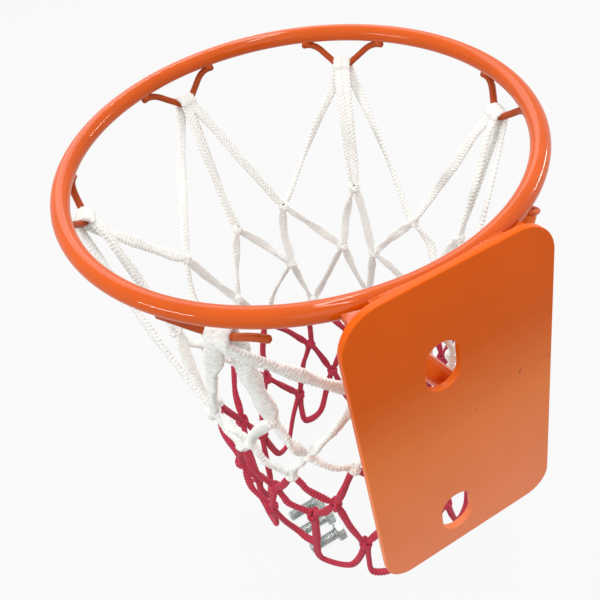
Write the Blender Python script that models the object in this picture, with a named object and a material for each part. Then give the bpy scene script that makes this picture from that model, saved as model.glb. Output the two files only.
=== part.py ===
"""Mini basketball hoop: a steel rod ring on a slotted wall plate, with braces, six net hooks, a knotted
net in two colours and its loose mounting bolts.

The wall plane is y = 0 and the hoop stands out towards -Y. X runs along the wall and Z is up.
The origin is the middle of the plate's back face. All sizes are in metres.
"""

import math

import bmesh
import bpy
from mathutils import Matrix, Vector

# Clearance where one piece seats on another
SEAT_GAP = 0.0003

# Back plate
PLATE_WIDTH = 0.110
PLATE_HEIGHT = 0.190
PLATE_THICKNESS = 0.004
PLATE_TOP_CORNER = 0.020
PLATE_LOW_CORNER = 0.015
PLATE_EDGE_ROUND = 0.0006
CORNER_STEPS = 10

# Slots for the mounting bolts, one above the other
SLOT_OFFSET = 0.008
SLOT_WIDTH = 0.019
SLOT_HEIGHT = 0.0285
SLOT_BELOW_RIM = 0.0436
SLOT_ABOVE_LOW_EDGE = 0.0271
SLOT_STEPS = 12

# Rim ring: its rod, its level at the plate and the angle at which it rises towards its front
RIM_RADIUS = 0.125
RIM_ROD_RADIUS = 0.005
RIM_BELOW_PLATE_TOP = 0.008
RIM_RISE = math.radians(6.0)
RIM_STEPS = 96

# Corner gussets between ring and plate
GUSSET_THICKNESS = 0.0035
GUSSET_EDGE_MARGIN = 0.009
GUSSET_WIDTH = 0.016

# Braces from the plate's front face to the underside of the ring; angles in degrees from +X
BRACE_RADIUS = 0.006
BRACE_STAND_OFF = 0.012
BRACE_BEND = 0.009
BRACE_BEND_STEPS = 6
BRACE_FOOT_BELOW_RIM = 0.088
BRACE_FOOT_X = -0.012
BRACE_FEET_APART = 0.002
BRACE_LEFT_ANGLE = 72.0
BRACE_RIGHT_ANGLE = 120.0

# Net hooks, bent from wire and welded under the ring by hand, so their angles are a little uneven
HOOK_ANGLES = [43.5, 101.0, 167.0, 226.0, 278.5, 339.5]
HOOK_WIRE_RADIUS = 0.002
HOOK_HALF_SPREAD = 12.5
HOOK_REACH = 0.007
HOOK_DROP = 0.012
# The first hook's second foot stands off the ring, bent down and out
FREE_FOOT_DROP = 0.0045
FREE_FOOT_OUT = 0.002
# Shares of the spread, the reach and the drop, from the foot to beside the hook's point
HOOK_ARM = [(1.00, 0.00, 0.00), (0.80, 0.00, 0.00), (0.62, 0.12, 0.15), (0.36, 0.52, 0.60), (0.10, 0.91, 1.00)]

# Net: a flat braided cord, white above and red below, and the size of its knots
WHITE_HALF_WIDTH = 0.0033
WHITE_HALF_DEPTH = 0.0014
WHITE_KNOT_RADIUS = 0.0034
RED_HALF_WIDTH = 0.0024
RED_HALF_DEPTH = 0.0018
RED_KNOT_RADIUS = 0.0030
WHITE_ROWS = 3
CORD_SIDES = 6

# Rows of knots: the angle of the first, and each row's level below the ring's centre and radius
NET_FIRST_ANGLE = 45.0
NET_LEVELS = [0.088, 0.130, 0.172, 0.212, 0.254, 0.296]
NET_RADII = [0.086, 0.081, 0.081, 0.080, 0.079, 0.078]

# Knots of each row that hang out of line: their turn in degrees, and how far out and down they are
KNOT_SHIFTS = [
    {
        0: (-4.0, 0.010, 0.024), 1: (-3.0, 0.004, 0.014), 4: (0.0, 0.002, 0.006), 5: (0.0, -0.002, 0.014),
        6: (-1.0, 0.0, -0.006), 7: (3.0, 0.0, 0.0), 8: (-2.0, 0.0, 0.001), 9: (3.0, 0.0, -0.012),
        10: (0.0, 0.008, 0.010), 11: (-3.0, 0.010, 0.040),
    },
    {
        0: (-13.0, 0.006, 0.022), 5: (8.0, 0.0, 0.004), 6: (-6.0, 0.0, -0.002), 7: (-8.0, 0.0, 0.003),
        8: (-3.0, 0.0, 0.004), 9: (0.0, 0.004, 0.006), 10: (-2.0, 0.010, 0.020), 11: (-6.0, 0.010, 0.018),
    },
    {0: (-10.0, 0.002, 0.009), 1: (-12.0, 0.0, 0.002), 10: (-2.0, 0.006, -0.004), 11: (0.0, 0.008, -0.010)},
    {
        0: (-9.0, 0.001, -0.003), 7: (-7.0, 0.0, 0.002), 8: (-4.0, -0.001, 0.004), 10: (0.0, 0.006, -0.008),
        11: (-6.0, 0.005, -0.011),
    },
    {
        0: (-7.0, 0.001, -0.028), 1: (-15.0, 0.001, 0.003), 7: (-1.0, 0.0, -0.005), 8: (-7.0, -0.001, 0.002),
        11: (0.0, 0.006, -0.020),
    },
    {
        0: (-19.0, -0.002, -0.004), 1: (-24.0, 0.001, 0.0), 7: (5.0, -0.007, -0.013),
        10: (-2.0, 0.002, -0.017), 11: (-5.0, -0.004, -0.021),
    },
]

# How the cord lies: stations along a leg, its bow and its sizes there, and its way over a hook's wire
LEG_STATIONS = [(0.18, 0.8, 1.1), (0.5, 1.0, 1.0), (0.82, 0.8, 1.1)]
LEG_BOW = 0.002
LOOP_STATION = (0.17, 0.81, 0.89)
LOOP_EASE = 0.0008
LOOP_TOP = [(-1.0, -0.4), (-0.65, 0.8), (0.0, 1.05), (0.65, 0.8), (1.0, -0.4)]

# Free loops of the last row: half the width of their feet and how much these are rounded up
FREE_LOOP_HALF_WIDTH = 0.010
FREE_LOOP_ROUNDING = 0.0032
FREE_LOOP_FOOT = [(-0.8, 1.0), (-0.3, 0.0), (0.3, 0.0), (0.8, 1.0)]
FREE_LEG_SHARES = (0.35, 0.7)

# Mounting bolts, lying loose side by side at the level that the net reaches
BOLT_COUNT = 3
BOLT_RADIUS = 0.004
BOLT_LENGTH = 0.022
BOLT_TIP = 0.001
BOLT_HEAD_WIDTH = 0.013
BOLT_HEAD_HEIGHT = 0.0053
BOLT_HEAD_CHAMFER = 0.0009
BOLT_SIDES = 24
BOLT_APART = 0.0013
BOLT_FIRST = (0.040, -0.0035)
BOLT_REST = math.radians(30.0)

ORANGE = (0.80, 0.17, 0.03, 1.0)
WHITE = (0.85, 0.85, 0.80, 1.0)
RED = (0.42, 0.03, 0.06, 1.0)
ZINC = (0.55, 0.60, 0.60, 1.0)

LOOPS = 2 * len(HOOK_ANGLES)
RIM_LEVEL = PLATE_HEIGHT / 2 - RIM_BELOW_PLATE_TOP
RIM_BACK_Y = -(PLATE_THICKNESS + SEAT_GAP + RIM_ROD_RADIUS)
RIM_CENTRE = Vector((
    0.0,
    RIM_BACK_Y - RIM_RADIUS * math.cos(RIM_RISE),
    RIM_LEVEL + RIM_RADIUS * math.sin(RIM_RISE),
))
RIM_TURN = Matrix.Rotation(-RIM_RISE, 3, "X")


def clear_scene():
    for item in list(bpy.data.objects):
        bpy.data.objects.remove(item, do_unlink=True)


def material(name, colour, roughness, metallic):
    """A Principled material, made once and shared by name."""
    made = bpy.data.materials.get(name)
    if made:
        return made
    made = bpy.data.materials.new(name)
    made.use_nodes = True
    shader = made.node_tree.nodes["Principled BSDF"]
    shader.inputs["Base Color"].default_value = colour
    shader.inputs["Roughness"].default_value = roughness
    shader.inputs["Metallic"].default_value = metallic
    return made


def powder_coat(name):
    return material("powder_coat_" + name, ORANGE, 0.35, 0.0)


def add_object(name, data, finish):
    """Links mesh or curve data as one named object with its own material."""
    made = bpy.data.objects.new(name, data)
    bpy.context.scene.collection.objects.link(made)
    data.materials.append(finish)
    return made


def rim_point(angle, radius, height):
    """A point in the ring's own rising frame: angle in degrees from +X, height along its axis."""
    turn = math.radians(angle)
    flat = Vector((radius * math.cos(turn), radius * math.sin(turn), height))
    return RIM_CENTRE + RIM_TURN @ flat


def smooth_points(route, steps):
    """Points read from a smooth open curve through the route's own points."""
    ends = [2 * route[0] - route[1]] + list(route) + [2 * route[-1] - route[-2]]
    points = []
    for i in range(1, len(ends) - 2):
        for step in range(steps):
            points.append(curve_point(ends[i - 1:i + 3], step / steps))
    return points + [route[-1]]


def curve_point(four, t):
    """The point at t between the middle two of four points, on a Catmull-Rom curve."""
    before, start, end, after = four
    return 0.5 * (
        2 * start
        + (end - before) * t
        + (2 * before - 5 * start + 4 * end - after) * t ** 2
        + (3 * start - before - 3 * end + after) * t ** 3
    )


def tube(name, points, radius, finish, sides_level, closed=False):
    """A round tube along the points, with flat ends unless it is closed."""
    data = bpy.data.curves.new(name, "CURVE")
    data.dimensions = "3D"
    data.twist_mode = "MINIMUM"
    data.bevel_depth = radius
    data.bevel_resolution = sides_level
    data.render_resolution_u = 0
    data.use_fill_caps = not closed
    spline = data.splines.new("POLY")
    spline.points.add(len(points) - 1)
    spline.use_cyclic_u = closed
    for index, place in enumerate(points):
        spline.points[index].co = (*place, 1.0)
    return add_object(name, data, finish)


def extruded(name, outline, depth, finish, place):
    """A flat outline in X and Y, extruded from height 0 to depth and placed by a matrix."""
    data = bpy.data.meshes.new(name)
    shape = bmesh.new()
    face = shape.faces.new([shape.verts.new((x, y, 0.0)) for x, y in outline])
    lifted = bmesh.ops.extrude_face_region(shape, geom=[face])
    top = [item for item in lifted["geom"] if isinstance(item, bmesh.types.BMVert)]
    bmesh.ops.translate(shape, verts=top, vec=(0.0, 0.0, depth))
    bmesh.ops.recalc_face_normals(shape, faces=shape.faces)
    shape.transform(place)
    shape.to_mesh(data)
    shape.free()
    data.shade_smooth()
    data.set_sharp_from_angle(angle=math.radians(30))
    return add_object(name, data, finish)


def arc(centre, radius, start, end, steps):
    """Points of an arc in the plane, from start to end in degrees."""
    points = []
    for step in range(steps + 1):
        turn = math.radians(start + (end - start) * step / steps)
        points.append((centre[0] + radius * math.cos(turn), centre[1] + radius * math.sin(turn)))
    return points


def plate_outline():
    """The plate's rounded rectangle, X across and Y up, with its larger corners at the top."""
    half_width = PLATE_WIDTH / 2
    half_height = PLATE_HEIGHT / 2
    top = PLATE_TOP_CORNER
    low = PLATE_LOW_CORNER
    return (
        arc((half_width - low, low - half_height), low, -90, 0, CORNER_STEPS)
        + arc((half_width - top, half_height - top), top, 0, 90, CORNER_STEPS)
        + arc((top - half_width, half_height - top), top, 90, 180, CORNER_STEPS)
        + arc((low - half_width, low - half_height), low, 180, 270, CORNER_STEPS)
    )


def slot_outline(height):
    """One upright slot with round ends, centred at the given height."""
    radius = SLOT_WIDTH / 2
    straight = SLOT_HEIGHT / 2 - radius
    return (
        arc((SLOT_OFFSET, height + straight), radius, 0, 180, SLOT_STEPS)
        + arc((SLOT_OFFSET, height - straight), radius, 180, 360, SLOT_STEPS)
    )


def slot_heights():
    return [RIM_LEVEL - SLOT_BELOW_RIM, SLOT_ABOVE_LOW_EDGE - PLATE_HEIGHT / 2]


def wall_place(back):
    """Stands an outline up in the wall plane, with its depth running from y = back towards -Y."""
    return Matrix.Translation((0.0, back, 0.0)) @ Matrix.Rotation(math.radians(90), 4, "X")


def build_plate():
    plate = extruded("back_plate", plate_outline(), PLATE_THICKNESS, powder_coat("plate"), wall_place(0.0))
    rounding = plate.modifiers.new("edge_round", "BEVEL")
    rounding.width = PLATE_EDGE_ROUND
    rounding.segments = 2
    rounding.limit_method = "ANGLE"
    rounding.angle_limit = math.radians(60)
    reach = 2 * PLATE_THICKNESS
    for number, height in enumerate(slot_heights(), start=1):
        cutter = extruded(
            f"slot_cutter_{number}", slot_outline(height), PLATE_THICKNESS + 2 * reach,
            powder_coat("plate"), wall_place(reach),
        )
        cutter.hide_render = True
        cutter.display_type = "WIRE"
        cut = plate.modifiers.new(f"slot_{number}", "BOOLEAN")
        cut.operation = "DIFFERENCE"
        cut.solver = "EXACT"
        cut.object = cutter


def build_ring():
    points = [rim_point(360 * step / RIM_STEPS, RIM_RADIUS, 0.0) for step in range(RIM_STEPS)]
    tube("rim_ring", points, RIM_ROD_RADIUS, powder_coat("ring"), 4, closed=True)


def gusset_outline(side):
    """Fills the wedge between the ring's outside and the plate's front, in the ring's plane."""
    outside = RIM_RADIUS + RIM_ROD_RADIUS + SEAT_GAP
    lean = GUSSET_THICKNESS / 2 * math.sin(RIM_RISE)
    front = RIM_RADIUS + (RIM_ROD_RADIUS - lean) / math.cos(RIM_RISE)
    outer_x = PLATE_WIDTH / 2 - GUSSET_EDGE_MARGIN
    inner_x = outer_x - GUSSET_WIDTH
    start = math.degrees(math.acos(outer_x / outside))
    end = math.degrees(math.acos(inner_x / outside))
    curve = arc((0.0, 0.0), outside, start, end, CORNER_STEPS)
    outline = curve + [(inner_x, front), (outer_x, front)]
    return [(side * x, y) for x, y in outline]


def build_gussets():
    for name, side in (("gusset_left", 1), ("gusset_right", -1)):
        place = Matrix.Translation(RIM_CENTRE) @ RIM_TURN.to_4x4()
        place = place @ Matrix.Translation((0.0, 0.0, -GUSSET_THICKNESS / 2))
        extruded(name, gusset_outline(side), GUSSET_THICKNESS, powder_coat(name), place)


def brace_points(foot_x, rim_angle):
    """Square out from the plate, round an even bend, and straight up to the underside of the ring."""
    foot = Vector((foot_x, -PLATE_THICKNESS - SEAT_GAP, RIM_LEVEL - BRACE_FOOT_BELOW_RIM))
    knee = foot + Vector((0.0, -BRACE_STAND_OFF, 0.0))
    seat = rim_point(rim_angle, RIM_RADIUS, -(RIM_ROD_RADIUS + SEAT_GAP))
    slope = (seat - knee).normalized()
    level = math.sqrt(1.0 - slope.z ** 2)
    top = seat - slope * (BRACE_RADIUS * level / slope.z)
    start = knee + (foot - knee).normalized() * BRACE_BEND
    end = knee + slope * BRACE_BEND
    points = [foot]
    for step in range(BRACE_BEND_STEPS + 1):
        t = step / BRACE_BEND_STEPS
        points.append(start * (1 - t) ** 2 + 2 * knee * t * (1 - t) + end * t ** 2)
    return points + [end.lerp(top, 0.5), top]


def build_braces():
    right_x = BRACE_FOOT_X - 2 * BRACE_RADIUS - BRACE_FEET_APART
    for name, foot_x, rim_angle in (
        ("brace_left", BRACE_FOOT_X, BRACE_LEFT_ANGLE),
        ("brace_right", right_x, BRACE_RIGHT_ANGLE),
    ):
        tube(name, brace_points(foot_x, rim_angle), BRACE_RADIUS, powder_coat(name), 4)


def hook_place(angle, side, station):
    """One station on a hook's arm, on the side of its point that side gives as 1 or -1."""
    across, inwards, down = station
    seat = -(RIM_ROD_RADIUS + SEAT_GAP + HOOK_WIRE_RADIUS)
    turn = angle + side * across * HOOK_HALF_SPREAD
    free = across if side > 0 and angle == HOOK_ANGLES[0] else 0.0
    radius = RIM_RADIUS - inwards * HOOK_REACH + free * FREE_FOOT_OUT
    return rim_point(turn, radius, seat - down * HOOK_DROP - free * FREE_FOOT_DROP)


def build_hooks():
    """Each hook is a V: its feet lie along the ring and its point is turned down and a little inwards."""
    for number, angle in enumerate(HOOK_ANGLES, start=1):
        name = f"net_hook_{number}"
        route = [hook_place(angle, -1, station) for station in HOOK_ARM]
        route.append(hook_place(angle, 1, (0.0, 1.0, 1.0)))
        route += [hook_place(angle, 1, station) for station in reversed(HOOK_ARM)]
        tube(name, smooth_points(route, 2), HOOK_WIRE_RADIUS, powder_coat(name), 2)


def cord_size(row):
    """The half width, half depth and knot radius of one row's cord."""
    if row < WHITE_ROWS:
        return WHITE_HALF_WIDTH, WHITE_HALF_DEPTH, WHITE_KNOT_RADIUS
    return RED_HALF_WIDTH, RED_HALF_DEPTH, RED_KNOT_RADIUS


def outward(place):
    return Vector((place.x - RIM_CENTRE.x, place.y - RIM_CENTRE.y, 0.0)).normalized()


def net_place(row, number, drop=0.0):
    """A knot's place: rows stand half a loop from each other and hang plumb under the ring."""
    turn, out, down = KNOT_SHIFTS[row].get(number % LOOPS, (0.0, 0.0, 0.0))
    angle = math.radians(NET_FIRST_ANGLE + 360 / LOOPS * (number + 0.5 * (row % 2)) + turn)
    radius = NET_RADII[row] + out
    return Vector((
        RIM_CENTRE.x + radius * math.cos(angle),
        RIM_CENTRE.y + radius * math.sin(angle),
        RIM_CENTRE.z - NET_LEVELS[row] - down - drop,
    ))


def knot(row, number):
    """A knot as one round station: its place, no wire under it, and its half width and depth."""
    radius = cord_size(row)[2]
    return (net_place(row, number), None, radius, radius)


def seat_under_knot(row, number):
    """The round turn of a row's cord just under a knot of the row above."""
    depth = cord_size(row)[1]
    drop = cord_size(row - 1)[2] + depth + SEAT_GAP
    return (net_place(row - 1, number, drop), None, depth, depth)


def leg(row, start, end, bow=LEG_BOW):
    """The stations inside one leg, bowed outwards a little by the cord's own stiffness."""
    wide, deep, _ = cord_size(row)
    push = outward(start.lerp(end, 0.5)) * bow
    stations = []
    for share, width_share, depth_share in LEG_STATIONS:
        place = start.lerp(end, share) + push * 4 * share * (1 - share)
        stations.append((place, None, wide * width_share, deep * depth_share))
    return stations


def loop_top(angle, side):
    """The top of one loop: up behind a hook's arm, over the wire and down on its inner side."""
    wide, deep, _ = cord_size(0)
    seat = hook_place(angle, side, LOOP_STATION)
    wire = (hook_place(angle, side, HOOK_ARM[-1]) - seat).normalized()
    up = RIM_TURN @ Vector((0.0, 0.0, 1.0))
    inner = (wire.cross(up) * side).normalized()
    apart = HOOK_WIRE_RADIUS + deep + LOOP_EASE
    return [(seat + inner * apart * aside + up * apart * high, wire, wide, deep) for aside, high in LOOP_TOP]


def first_row():
    """The long loops: a knot between hooks, over the hook, the knot under it, the hook again."""
    stations = []
    for number, angle in enumerate(HOOK_ANGLES):
        before = knot(0, 2 * number - 1)
        under = knot(0, 2 * number)
        after = knot(0, 2 * number + 1)
        first = loop_top(angle, -1)
        second = loop_top(angle, 1)[::-1]
        stations.append(before)
        stations += leg(0, before[0], first[0][0]) + first + leg(0, first[-1][0], under[0], -LEG_BOW)
        stations.append(under)
        stations += leg(0, under[0], second[0][0]) + second + leg(0, second[-1][0], after[0])
    return stations


def middle_row(row):
    """One zigzag row: from under a knot of the row above, down to its own knot, and up again."""
    stations = []
    shift = (row - 1) % 2
    for number in range(LOOPS):
        top = seat_under_knot(row, number)
        low = knot(row, number + shift)
        following = seat_under_knot(row, number + 1)
        stations.append(top)
        stations += leg(row, top[0], low[0])
        stations.append(low)
        stations += leg(row, low[0], following[0])
    return stations


def last_row(row):
    """Free loops, each from under one knot, round its foot, and up under the next knot."""
    wide, deep, _ = cord_size(row)
    stations = []
    shift = (row - 1) % 2
    for number in range(LOOPS):
        top = seat_under_knot(row, number)
        following = seat_under_knot(row, number + 1)
        middle = net_place(row, number + shift)
        aside = Vector((0.0, 0.0, 1.0)).cross(outward(middle))
        foot = []
        for across, rise in FREE_LOOP_FOOT:
            lifted = Vector((0.0, 0.0, rise * FREE_LOOP_ROUNDING))
            foot.append(middle + aside * across * FREE_LOOP_HALF_WIDTH + lifted)
        stations.append(top)
        stations += [(top[0].lerp(foot[0], share), None, wide, deep) for share in FREE_LEG_SHARES]
        stations += [(place, None, wide, deep) for place in foot]
        stations += [(foot[-1].lerp(following[0], share), None, wide, deep) for share in FREE_LEG_SHARES]
    return stations


def cord_rings(stations):
    """Sections that lie flat round the net, or flat on a hook's wire, and whether the last is turned over."""
    rings = []
    facing = 1.0
    last = None
    count = len(stations)
    for index, (place, wire, wide, deep) in enumerate(stations):
        behind = stations[index - 1]
        tangent = (stations[(index + 1) % count][0] - behind[0]).normalized()
        across = outward(place).cross(tangent) if wire is None else wire
        across = facing * (across - tangent * across.dot(tangent)).normalized()
        near_wire = wire is not None or behind[1] is not None
        if last and near_wire and across.dot(last) < 0:
            facing = -facing
            across = -across
        last = across
        depth = tangent.cross(across)
        turns = [2 * math.pi * step / CORD_SIDES for step in range(CORD_SIDES)]
        rings.append([place + across * wide * math.cos(turn) + depth * deep * math.sin(turn) for turn in turns])
    return rings, facing < 0


def cord_mesh(name, stations):
    """One closed cord through the stations."""
    data = bpy.data.meshes.new(name)
    shape = bmesh.new()
    rings, turned = cord_rings(stations)
    corners = [[shape.verts.new(place) for place in ring] for ring in rings]
    for index, ring in enumerate(corners):
        closing = index == len(corners) - 1
        following = corners[0] if closing else corners[index + 1]
        offset = CORD_SIDES // 2 if closing and turned else 0
        for step in range(CORD_SIDES):
            after = (step + 1) % CORD_SIDES
            ahead = following[(step + offset) % CORD_SIDES]
            ahead_after = following[(after + offset) % CORD_SIDES]
            shape.faces.new((ring[step], ring[after], ahead_after, ahead))
    shape.to_mesh(data)
    shape.free()
    data.shade_smooth()
    return data


def build_net():
    rows = len(NET_LEVELS)
    for row in range(rows):
        if row == 0:
            stations = first_row()
        elif row == rows - 1:
            stations = last_row(row)
        else:
            stations = middle_row(row)
        name = f"net_row_{row + 1}"
        finish = material(f"cord_row_{row + 1}", WHITE if row < WHITE_ROWS else RED, 0.9, 0.0)
        add_object(name, cord_mesh(name, stations), finish)


def bolt_ring(x, reach, hexagonal):
    """Points round the bolt at one station, on a circle or on a hexagon across its flats."""
    points = []
    for step in range(BOLT_SIDES):
        turn = 2 * math.pi * step / BOLT_SIDES
        from_flat = (turn + math.pi / 6) % (math.pi / 3) - math.pi / 6
        radius = reach / math.cos(from_flat) if hexagonal else reach
        points.append((x, radius * math.cos(turn), radius * math.sin(turn)))
    return points


def bolt_mesh(name):
    """A hexagon head bolt along +X, with its head's outer face at x = 0."""
    flats = BOLT_HEAD_WIDTH / 2
    length = BOLT_HEAD_HEIGHT + BOLT_LENGTH
    stations = [
        (0.0, flats - BOLT_HEAD_CHAMFER / 3, False),
        (BOLT_HEAD_CHAMFER, flats, True),
        (BOLT_HEAD_HEIGHT, flats, True),
        (BOLT_HEAD_HEIGHT, BOLT_RADIUS, False),
        (length - BOLT_TIP, BOLT_RADIUS, False),
        (length, BOLT_RADIUS - BOLT_TIP, False),
    ]
    data = bpy.data.meshes.new(name)
    shape = bmesh.new()
    rings = [[shape.verts.new(point) for point in bolt_ring(*station)] for station in stations]
    for first, second in zip(rings, rings[1:]):
        for step in range(BOLT_SIDES):
            after = (step + 1) % BOLT_SIDES
            shape.faces.new((first[step], second[step], second[after], first[after]))
    shape.faces.new(rings[0])
    shape.faces.new(rings[-1])
    bmesh.ops.recalc_face_normals(shape, faces=shape.faces)
    shape.to_mesh(data)
    shape.free()
    data.shade_smooth()
    data.set_sharp_from_angle(angle=math.radians(30))
    return data


def build_bolts():
    """The bolts lie on their heads' flats, corner to corner, on the level that the net just reaches."""
    lowest = RIM_CENTRE.z - NET_LEVELS[-1] - RED_HALF_WIDTH
    pitch = BOLT_HEAD_WIDTH / math.cos(math.pi / 6) + BOLT_APART
    for number in range(BOLT_COUNT):
        name = f"mounting_bolt_{number + 1}"
        bolt = add_object(name, bolt_mesh(name), material("zinc_" + name, ZINC, 0.3, 1.0))
        bolt.location = (
            RIM_CENTRE.x + BOLT_FIRST[0],
            RIM_CENTRE.y + BOLT_FIRST[1] + number * pitch,
            lowest + BOLT_HEAD_WIDTH / 2,
        )
        bolt.rotation_euler = (BOLT_REST, 0.0, 0.0)


def main():
    clear_scene()
    build_plate()
    build_ring()
    build_gussets()
    build_braces()
    build_hooks()
    build_net()
    build_bolts()


main()
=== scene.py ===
"""Looks for a mini basketball hoop: a painted steel ring on a slotted plate, with braces, hooks and a
knotted net of flat braided cord, white above and red below. Sizes are in metres."""

import math
import random
from collections import namedtuple

import bpy
import numpy as np
from mathutils import Matrix, Vector


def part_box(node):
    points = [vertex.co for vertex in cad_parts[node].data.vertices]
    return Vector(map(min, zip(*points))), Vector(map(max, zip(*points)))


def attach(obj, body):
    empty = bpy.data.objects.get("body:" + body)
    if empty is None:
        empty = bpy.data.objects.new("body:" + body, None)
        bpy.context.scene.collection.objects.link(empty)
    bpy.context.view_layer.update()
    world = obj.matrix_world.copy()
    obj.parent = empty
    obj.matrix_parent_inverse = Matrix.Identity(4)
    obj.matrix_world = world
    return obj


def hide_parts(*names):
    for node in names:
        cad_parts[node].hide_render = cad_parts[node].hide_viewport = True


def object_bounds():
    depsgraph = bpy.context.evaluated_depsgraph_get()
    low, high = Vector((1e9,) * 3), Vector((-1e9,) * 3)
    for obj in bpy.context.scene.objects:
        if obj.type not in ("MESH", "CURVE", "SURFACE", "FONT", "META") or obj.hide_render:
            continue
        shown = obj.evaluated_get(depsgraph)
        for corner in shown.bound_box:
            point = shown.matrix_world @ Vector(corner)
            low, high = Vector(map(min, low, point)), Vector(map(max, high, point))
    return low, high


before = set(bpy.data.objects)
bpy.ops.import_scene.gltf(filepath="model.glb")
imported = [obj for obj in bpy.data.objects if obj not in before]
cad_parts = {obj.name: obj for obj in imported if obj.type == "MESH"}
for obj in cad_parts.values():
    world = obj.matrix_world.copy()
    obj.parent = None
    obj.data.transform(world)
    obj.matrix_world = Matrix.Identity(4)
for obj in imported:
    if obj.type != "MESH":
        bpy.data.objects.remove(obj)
CAD_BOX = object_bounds()

# Camera
CAMERA_PLACE = (0.133926, 0.191769, 0.281217)
CAMERA_AIM = (0.01738, -0.13448, 0.0)
CAMERA_ROLL = math.radians(-14.3246)
CAMERA_LENS = 43.908

# Plate and slots
PLATE_WIDTH = 0.110
PLATE_HEIGHT = 0.190
PLATE_THICKNESS = 0.004
PLATE_TOP_CORNER = 0.020
PLATE_LOW_CORNER = 0.015
PLATE_EDGE_ROUND = 0.0006
CORNER_STEPS = 16
SLOT_STEPS = 20
SLOT_OFFSET = 0.008
SLOT_WIDTH = 0.019
SLOT_HEIGHT = 0.0285
SLOT_BELOW_RIM = 0.0436
SLOT_ABOVE_LOW_EDGE = 0.0271

# Ring
RIM_RADIUS = 0.125
RIM_ROD_RADIUS = 0.005
RIM_BELOW_PLATE_TOP = 0.008
RIM_RISE = math.radians(6.0)
RIM_STEPS = 72
# What keeps welded and seated pieces apart
SEAT_GAP = 0.0003

# The weld between ring and plate: its reach each way, its height, the share of that lost at its ends, its
# hollow, and the angles on the rod where it begins, at its middle and ends
WELD_REACH = 0.034
WELD_HEIGHT = 0.0070
WELD_FALL = 0.62
WELD_HOLLOW = 0.0008
WELD_TOUCH = (70.0, 48.0)
WELD_SPACING = 0.0005
WELD_FLANK_STEPS = 8
# Its ripples: (height, waves' radians per metre, phase)
WELD_RIPPLES = ((0.00026, 4200.0, 0.0), (0.00042, 1130.0, 1.0), (0.00014, 9100.0, 0.0))
# How far it runs into the gap between the rod's front and the plate
WELD_INTO_GAP = 0.0001

# Braces
BRACE_RADIUS = 0.006
BRACE_STAND_OFF = 0.012
BRACE_BEND = 0.009
BRACE_FOOT_BELOW_RIM = 0.088
BRACE_FOOT_X = -0.012
BRACE_FEET_APART = 0.002
BRACE_ANGLES = (72.0, 120.0)
BRACE_BEND_STEPS = 6
# The beads round a brace: at its foot, off the rod and the plate, and at its top, back from its end
FOOT_BEAD_RADIUS = 0.0017
FOOT_BEAD_OUT = 0.0006
TOP_BEAD_RADIUS = 0.0012
TOP_BEAD_BACK = 0.0004
TOP_BEAD_IN = 0.0002

# Weld beads: their scales, and wobbles of (share, waves' radians per metre, share of the start)
BEAD_SPACING = 0.0004
BEAD_SCALE_LENGTH = 0.0011
BEAD_SCALE_HEIGHT = 0.07
BEAD_DOME_SHARE = 1.6
BEAD_WOBBLES = ((0.10, 900.0, 1.0), (0.05, 3500.0, 1.7))

# Net hooks; the first hook's second foot stands off the ring
HOOK_ANGLES = (43.5, 101.0, 167.0, 226.0, 278.5, 339.5)
HOOK_WIRE_RADIUS = 0.002
HOOK_HALF_SPREAD = 12.5
HOOK_REACH = 0.007
HOOK_DROP = 0.012
FREE_FOOT_DROP = 0.0045
FREE_FOOT_OUT = 0.002
# Stations along an arm, from its foot to its point: shares of the half spread, the reach and the drop
HOOK_ARM = (
    (1.00, 0.00, 0.00), (0.80, 0.00, 0.00), (0.62, 0.12, 0.15), (0.36, 0.52, 0.60), (0.10, 0.91, 1.00),
)
# Where the net's loops hang
LOOP_STATION = (0.09, 0.91, 1.0)
# The shares of the half spread where a foot is welded; its bead's radius, sink and wander
HOOK_WELD_SHARES = (0.99, 0.92, 0.84, 0.77)
HOOK_BEAD_RADIUS = 0.0023
HOOK_BEAD_SINK = 0.0001
HOOK_BEAD_WANDER = 0.0003

# Net: its two cords. A weave is its pitch, its ribs' slant from middle to edge, and their height; the wraps
# are those of a knot
Cord = namedtuple("Cord", "half_width half_depth sides weave wrap_radius wrap_thickness")
WHITE_CORD = Cord(0.0029, 0.0013, 20, (0.0025, 0.9, 1.0), 0.0025, 0.95)
RED_CORD = Cord(0.0024, 0.0018, 14, (0.0021, 0.8, 1.35), 0.0027, 0.9)
WHITE_ROWS = 3
CORD_STEP = 0.00042
# Where a cord goes into a knot it is drawn in to this share of its width, over this length
DRAWN_IN_SHARE = 0.58
DRAWN_IN_LENGTH = 0.0045
DRAWN_IN_THICKENING = 0.45
# The rows of knots: the first knot's angle, each row's level under the ring's centre, and its radius
NET_FIRST_ANGLE = 45.0
NET_LEVELS = (0.088, 0.130, 0.172, 0.212, 0.254, 0.296)
NET_RADII = (0.086, 0.081, 0.081, 0.080, 0.079, 0.078)
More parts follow.
